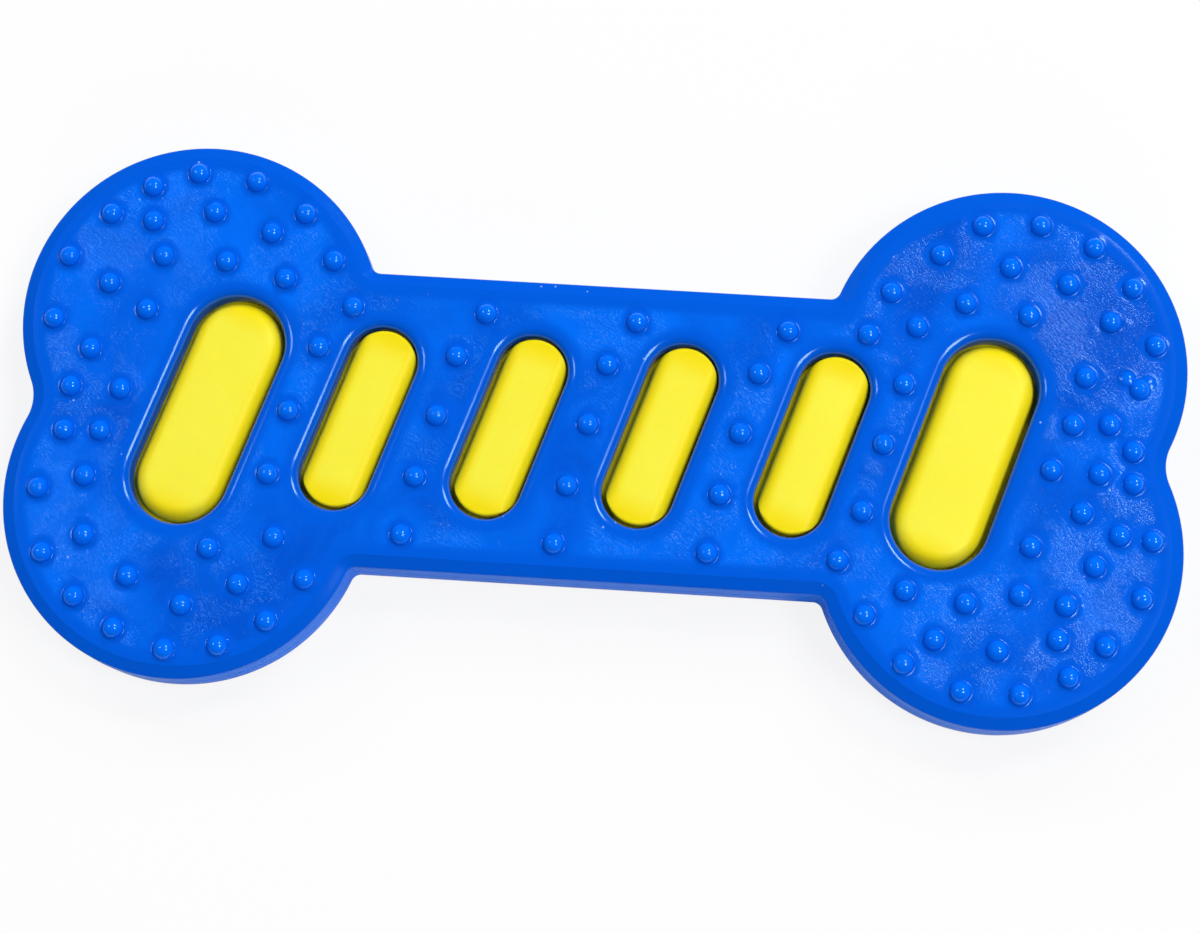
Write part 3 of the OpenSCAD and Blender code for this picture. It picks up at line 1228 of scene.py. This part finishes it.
@dataclass(frozen=True)
class YellowMouldedRubber:
    """Silicone-soft rubber, yellow, moulded in a polished steel mould.

    The eye sees an even, warm yellow with a soft broad sheen, a faint cloudiness in the colour
    and hardly any texture. Part of the sheen is painted: the middle of each pad's top takes a
    paler yellow that stands in for its soft reflection.
    """

    body: str = "#fae20c"
    # Painted sheen: the paler yellow along the middle of a pad's top stands in for its soft reflection.
    sheen_crown: str = "#fff14b"
    sheen: str = "#fff2a8"
    ior: float = 1.42
    rough: float = 0.42
    glow: float = 0.6
    depth_mm: float = 1.4
    depths: tuple[float, ...] = (1.0, 0.8, 0.2)
    cloud: Noise = Noise(14.0, 2.0)
    tones: tuple[float, ...] = (0.3, 0.7, 0.8, 1.0)
    skin: Noise = Noise(0.5, 1.0)
    skin_mm: float = 0.006

    def build(self) -> bpy.types.Material:
        """Builds the material.

        Returns:
            The material.
        """
        material = bpy.data.materials.new("moulded_yellow_rubber")
        node = empty_tree(material)
        place = node("TexCoord", out="Object")
        sheen_crown = node("Attribute", out="Fac", attribute_name="sheen_crown")
        tone = node("MapRange", (node("TexNoise", self.cloud.inputs(place)), *self.tones))
        # Painted sheen: the paler yellow where the sheen share is high, varied by the cloud.
        painted_sheen = node("Math", (tone, sheen_crown), operation="MULTIPLY")
        yellow = node("Mix", {"Factor": painted_sheen, "A": linear(self.body), "B": linear(self.sheen_crown)},
                      "Result", data_type="RGBA")
        skin = node("TexNoise", self.skin.inputs(place))
        bump = node("Bump", {"Height": skin, "Strength": 1.0, "Distance": self.skin_mm * MM})
        shader = node("BsdfPrincipled", {
            "Base Color": yellow, "Normal": bump, "IOR": self.ior, "Roughness": self.rough,
            "Specular Tint": linear(self.sheen), "Subsurface Weight": self.glow,
            "Subsurface Scale": self.depth_mm * MM, "Subsurface Radius": self.depths,
        })
        node("OutputMaterial", (shader,), None)
        return material


@dataclass(frozen=True)
class StudioPaper:
    """White matt studio paper, which the camera sees as an even near-white.

    Reflections see the lit paper itself, so the side walls keep their blue.
    """

    paper: str = "#f4f4f4"
    glow: float = 0.86

    def build(self) -> bpy.types.Material:
        """Builds the material: matt paper, plus a glow for camera and through rays.

        Returns:
            The material.
        """
        material = bpy.data.materials.new("studio_paper")
        node = empty_tree(material)
        camera = node("LightPath", out="Is Camera Ray")
        through = node("LightPath", out="Is Transmission Ray")
        seen = node("Math", (camera, through), operation="MAXIMUM")
        share = node("Math", (seen, self.glow), operation="MULTIPLY")
        matt = node("BsdfDiffuse", {"Color": linear(self.paper)})
        white = node("Emission", {"Strength": 1.0})
        node("OutputMaterial", (node("MixShader", (share, matt, white)),), None)
        return material


def dress(piece: bpy.types.Object, material: bpy.types.Material, node: str) -> None:
    """Gives a piece its material, rides it on the body and lets it stand for its CAD node.

    Args:
        piece: The piece.
        material: Its material.
        node: CAD node that it stands for.
    """
    piece.data.materials.append(material)
    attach(piece, BODY)
    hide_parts(node)


@dataclass(frozen=True)
class ChewBone:
    """The whole toy: two half shells and six inserts, placed by the frame's nodes.

    Attributes:
        small_nodes: CAD nodes of the small inserts.
        large_nodes: CAD nodes of the large inserts.
        tip_window: How near the top a corner of the CAD mesh is a nub's tip.
        seeds: Seeds of the unevenness of the front and the back face.
        front_marks: Marks on the front face.
    """

    small_nodes: tuple[str, ...] = ("small_insert_1", "small_insert_2", "small_insert_3", "small_insert_4")
    large_nodes: tuple[str, ...] = ("large_insert_left", "large_insert_right")
    tip_window: float = 0.02
    seeds: tuple[int, int] = (11, 29)
    front_marks: tuple[Mark, ...] = (
        Mark((105.4, 14.5), 5.7, (
            ((0.0, 0.0), NubShape()),
            ((-2.4, 2.1), NubShape(3.5, 0.6)),
            ((1.7, 1.4), NubShape(3.3, 0.45)),
        )),
        Mark((99.4, 27.7), 5.3, (
            ((0.0, 0.0), NubShape()),
            ((-3.1, -1.9), NubShape(2.4, 0.1, skirt=0.02)),
            ((3.0, 0.0), NubShape(2.4, 0.08, skirt=0.02)),
        )),
        Mark((-83.9, -27.6), 2.4, (((0.0, 0.0), NubShape(4.2, 0.05, skirt=0.03)),)),
    )

    def nub_places(self) -> Array:
        """Middles of the nubs: the highest corners of the front cover's CAD mesh.

        Returns:
            The middles in plan to a tenth of a millimetre, one row each.
        """
        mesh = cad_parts["front_cover"].data
        corners = np.zeros(len(mesh.vertices) * 3, np.float32)
        mesh.vertices.foreach_get("co", corners)
        corners = corners.reshape(-1, 3).astype(float) / MM
        tips = corners[corners[:, 2] > corners[:, 2].max() - self.tip_window, :2]
        return np.unique(np.round(tips, 1), axis=0)

    def build(self) -> None:
        """Builds and dresses all eight pieces."""
        low, high = frame_box("front_cover")
        slots = tuple(Slot.around(node) for node in self.small_nodes + self.large_nodes)
        nub = NubShape()
        outline = BoneOutline(half_length=high[0], half_width=high[1])
        mid_z, half_t = low[2], high[2] - low[2] - nub.height
        blue = BlueMouldedRubber(mid_z, half_t).build()
        yellow = YellowMouldedRubber().build()
        places = self.nub_places()
        log.info("%d nubs a face", len(places))
        for side, seed, marks in zip(Side, self.seeds, (self.front_marks, ())):
            shell = HalfShell(side, outline, slots, nub, places, marks, half_t, mid_z, Ripple(seed))
            name = side.name.lower()
            dress(shell.build(f"{name}_shell"), blue, f"{name}_cover")
        large = partial(PadInsert, style=PadStyle.PILLOW, shift=0.0, sink=1.6, bulge=0.35, flank_r=3.2)
        small = partial(PadInsert, style=PadStyle.BAR, shift=0.3, sink=1.25, bulge=0.25, flank_r=2.8)
        for slot in slots:
            form = large if slot.node in self.large_nodes else small
            pad = form(slot, mid_z=mid_z, half_t=half_t)
            dress(pad.build(slot.node.replace("insert", "pad")), yellow, slot.node)


@dataclass(frozen=True)
class Lamp:
    """Soft lamp that looks at the toy from a direction.

    Attributes:
        name: Name of the lamp.
        direction: Direction from the toy to the lamp.
        distance: Distance in metres.
        size: Width and height of its face, in metres.
        radiance: Brightness of its face.
        mirrored: Whether reflections show it. A broad fill is left out of them.
    """

    name: str
    direction: tuple[float, float, float]
    distance: float
    size: Pair
    radiance: float
    mirrored: bool = True

    def build(self) -> None:
        """Builds the lamp, with its power as radiance times face area times pi."""
        data = bpy.data.lights.new(self.name, "AREA")
        data.shape = "RECTANGLE"
        data.size, data.size_y = self.size
        data.energy = self.radiance * self.size[0] * self.size[1] * math.pi
        lamp = bpy.data.objects.new(self.name, data)
        towards = Vector(self.direction).normalized()
        lamp.location = towards * self.distance
        lamp.rotation_euler = towards.to_track_quat("Z", "Y").to_euler()
        lamp.visible_glossy = self.mirrored
        bpy.context.scene.collection.objects.link(lamp)


@dataclass(frozen=True)
class Studio:
    """Plain white floor, soft lamps and the camera at the photo's angle.

    Attributes:
        floor_rings: Radii of the flat floor's rings, in metres.
        floor_sides: Number of points round a ring.
        tilt: Tilt of the camera about X from straight above, in radians.
        swing: Tilt of the camera about Y, in radians.
        turn: Turn of the camera about its own axis, in radians.
        eye: Place of the camera from the middle of the front face, along its own axes.
        lens: Focal length, for the sensor's width.
        sensor: Width of the sensor.
        near: Nearest distance that the camera sees, in metres.
        air: Brightness of the air above the floor, which the camera sees as white.
        lamps: The lamps.
    """

    floor_rings: tuple[float, ...] = (0.0, 0.3, 0.8, 3.0)
    floor_sides: int = 96
    tilt: float = math.radians(10.903)
    swing: float = math.radians(1.26)
    turn: float = math.radians(3.713)
    eye: tuple[float, float, float] = (0.97, -6.975, 487.8)
    lens: float = 75.0
    sensor: float = 36.0
    near: float = 0.01
    air: float = 0.04
    lamps: tuple[Lamp, ...] = (
        Lamp("key_upper", (0.42, 0.42, 0.80), 2.2, (0.56, 0.50), 16.0),
        Lamp("key_lower", (0.485, -0.13, 0.86), 2.2, (0.56, 0.68), 14.8),
        Lamp("key_middle", (0.525, 0.06, 0.85), 2.2, (0.36, 0.40), 3.4),
        Lamp("key_left", (-0.56, 0.17, 0.81), 2.2, (0.46, 0.46), 8.8),
        Lamp("wing_right", (0.35, 0.75, 0.56), 2.0, (0.60, 0.60), 7.7, mirrored=False),
        Lamp("wing_left", (-0.55, 0.62, 0.56), 2.0, (0.60, 0.60), 9.3, mirrored=False),
        Lamp("wing_front", (0.10, -0.90, 0.42), 2.0, (0.60, 0.60), 5.6, mirrored=False),
    )

    def build_floor(self) -> None:
        """Builds a flat round floor from rings round the Z axis."""
        work = Patchwork("plain")
        rings = np.array(self.floor_rings)[:, None, None] * circle(self.floor_sides)
        work.add_grid(raised(rings, 0.0) / MM)
        floor = work.build("floor", crease=60.0)
        floor.data.flip_normals()
        floor.data.materials.append(StudioPaper().build())

    def build_world(self) -> None:
        """Fills the air with an even dim light, and shows it to the camera as white."""
        world = bpy.data.worlds.new("air")
        node = empty_tree(world)
        camera = node("LightPath", out="Is Camera Ray")
        strength = node("MapRange", (camera, 0.0, 1.0, self.air, 1.0))
        light = node("Background", {"Color": linear("#ffffff"), "Strength": strength})
        node("OutputWorld", (light,), None)
        bpy.context.scene.world = world

    def build_camera(self, face_z: float) -> None:
        """Places the camera where the photograph was taken from.

        Args:
            face_z: Height of the toy's front face, in millimetres.
        """
        data = bpy.data.cameras.new("camera")
        data.lens = self.lens
        data.sensor_width = self.sensor
        data.clip_start = self.near
        camera = bpy.data.objects.new("camera", data)
        camera.rotation_euler = Euler((self.tilt, self.swing, self.turn), "XYZ")
        eye = camera.rotation_euler.to_matrix() @ Vector(self.eye)
        camera.location = (eye + Vector((0, 0, face_z))) * MM
        bpy.context.scene.collection.objects.link(camera)
        bpy.context.scene.camera = camera

    def build(self, face_z: float) -> None:
        """Builds floor, air, lamps and camera.

        Args:
            face_z: Height of the toy's front face, in millimetres.
        """
        self.build_floor()
        self.build_world()
        for lamp in self.lamps:
            lamp.build()
        self.build_camera(face_z)


def main() -> None:
    """Builds the toy and its studio."""
    logging.basicConfig(level=logging.INFO, format="%(name)s %(message)s")
    bpy.context.scene.view_settings.view_transform = "Standard"
    ChewBone().build()
    _, high = frame_box("front_cover")
    Studio().build(high[2] - NubShape().height)


if __name__ == "__main__":
    main()
